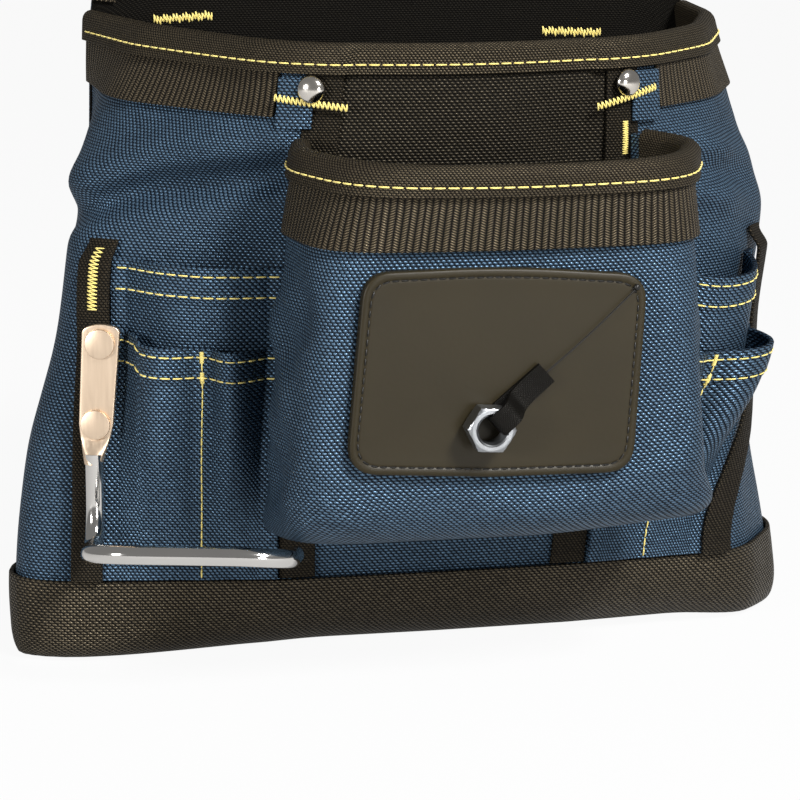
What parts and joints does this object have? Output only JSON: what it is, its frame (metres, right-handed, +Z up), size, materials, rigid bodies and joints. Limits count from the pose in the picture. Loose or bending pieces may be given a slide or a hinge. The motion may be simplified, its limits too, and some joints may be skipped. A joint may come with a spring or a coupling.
{
  "type": "magnetic tool pouch",
  "caption": "Belt-worn nylon tool pouch with a flared main pocket, a front pocket with a magnetic patch, side tool sleeves, a steel hammer holder and a tethered hex nut.",
  "frame": {"origin": "centre of the flat face under the boot that the pouch rests on, below the middle of the back half", "axes": "+X to the right as seen from the front, +Y towards the wearer's belt, +Z up along the back panel"},
  "size_m": [0.2892, 0.1927, 0.3056],
  "materials": {
    "blue_nylon": "coarse woven nylon, matt",
    "black_nylon": "ballistic nylon, slight sheen",
    "black_webbing": "ribbed webbing",
    "binding_tape": "fine woven tape, matt",
    "patch_rubber": "matt moulded rubber",
    "magnet_sheet": "plain magnetic sheet",
    "satin_steel": "satin nickel plate",
    "rivet_steel": "polished nickel plate",
    "zinc_nut": "bright zinc plate",
    "ribbon": "satin ribbon",
    "thread": "waxed thread"
  },
  "bodies": {
    "pouch": {"back_lining": "black_nylon", "back_outer": "blue_nylon", "back_binding": "binding_tape", "belt_loop_left": "black_webbing", "belt_loop_right": "black_webbing", "main_left_panel": "blue_nylon", "main_center_panel": "black_nylon", "main_lower_panel": "blue_nylon", "main_right_panel": "blue_nylon", "seam_strap_left": "black_webbing", "seam_strap_right": "black_webbing", "pocket_tab_left": "blue_nylon", "pocket_tab_right": "blue_nylon", "rim_webbing_left": "black_webbing", "rim_webbing_right": "black_webbing", "rim_binding": "binding_tape", "left_upper_sleeve": "blue_nylon", "left_lower_sleeve": "blue_nylon", "right_upper_sleeve": "blue_nylon", "right_lower_sleeve": "blue_nylon", "hammer_strap": "black_webbing", "side_strap_right": "black_webbing", "boot": "black_nylon", "front_pocket_wall": "blue_nylon", "front_pocket_floor": "blue_nylon", "front_pocket_webbing": "black_webbing", "front_pocket_binding": "binding_tape", "magnet_patch": "patch_rubber", "magnet_sheet": "magnet_sheet", "rivet_left": "rivet_steel", "rivet_right": "rivet_steel", "hammer_holder": "satin_steel", "hammer_rivet_upper": "satin_steel", "hammer_rivet_lower": "satin_steel"},
    "tether_knot": {"tether_anchor": "thread"},
    "tether": {"tether_thread": "thread", "nut_ribbon": "ribbon", "hex_nut": "zinc_nut"}
  },
  "joints": [
    {"name": "tether_swing", "type": "hinge", "parent": "pouch", "child": "tether_knot", "pos_m": [0.0428, -0.127, 0.141], "axis": [0, -1, 0], "range_deg": [-40, 12]},
    {"name": "nut_lift", "type": "hinge", "parent": "tether_knot", "child": "tether", "pos_m": [0.0428, -0.127, 0.141], "axis": [-0.6557, 0, 0.755], "range_deg": [0, 75]}
  ]
}
